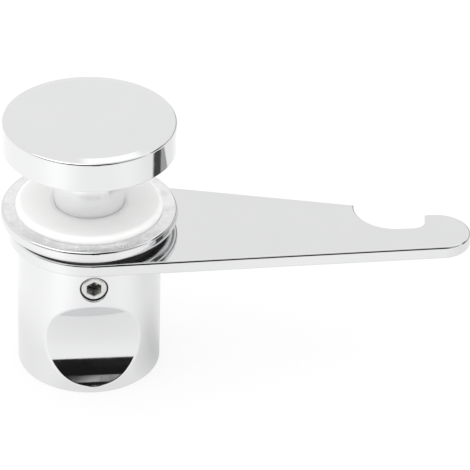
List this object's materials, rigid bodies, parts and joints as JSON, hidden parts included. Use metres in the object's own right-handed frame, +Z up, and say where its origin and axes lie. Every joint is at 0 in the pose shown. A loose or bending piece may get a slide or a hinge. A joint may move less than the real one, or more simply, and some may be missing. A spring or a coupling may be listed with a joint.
{
  "type": "glass door hook bolt",
  "caption": "Turning hook bolt for a frameless glass door: round outside knob, flanged bush and ring, hooked lever and scooped grip on one stem.",
  "frame": {"origin": "centre of the grip's foot, on the stem's axis", "axes": "+Z up the stem from the grip to the knob; +X from the stem towards the hook, between the grip's two scoops; -Y the side of the set screw; the hook's notch opens towards +Y"},
  "size_m": [0.1037, 0.0394, 0.0617],
  "materials": {
    "chrome": "bright polished chrome plate on brass",
    "ring_chrome": "bright chrome plate, flat face finely scratched",
    "screw_steel": "bright stainless steel",
    "clear_white_plastic": "milky translucent moulded plastic",
    "white_plastic": "white moulded plastic",
    "black_plastic": "black moulded plastic"
  },
  "bodies": {
    "door_mount": {"bush": "clear_white_plastic", "cover_ring": "ring_chrome", "turn_washer": "black_plastic"},
    "handle": {"grip": "chrome", "lever": "chrome", "set_screw": "screw_steel"},
    "outer_knob": {"knob": "chrome", "stem": "chrome", "knob_washer": "white_plastic"}
  },
  "joints": [
    {"name": "bolt_turn", "type": "hinge", "parent": "door_mount", "child": "handle", "pos_m": [0, 0, 0.0335], "axis": [0, 0, 1], "continuous": true},
    {"name": "glass_adjust", "type": "slide", "parent": "handle", "child": "outer_knob", "axis": [0, 0, 1], "range_m": [-0.0042, 0]}
  ]
}
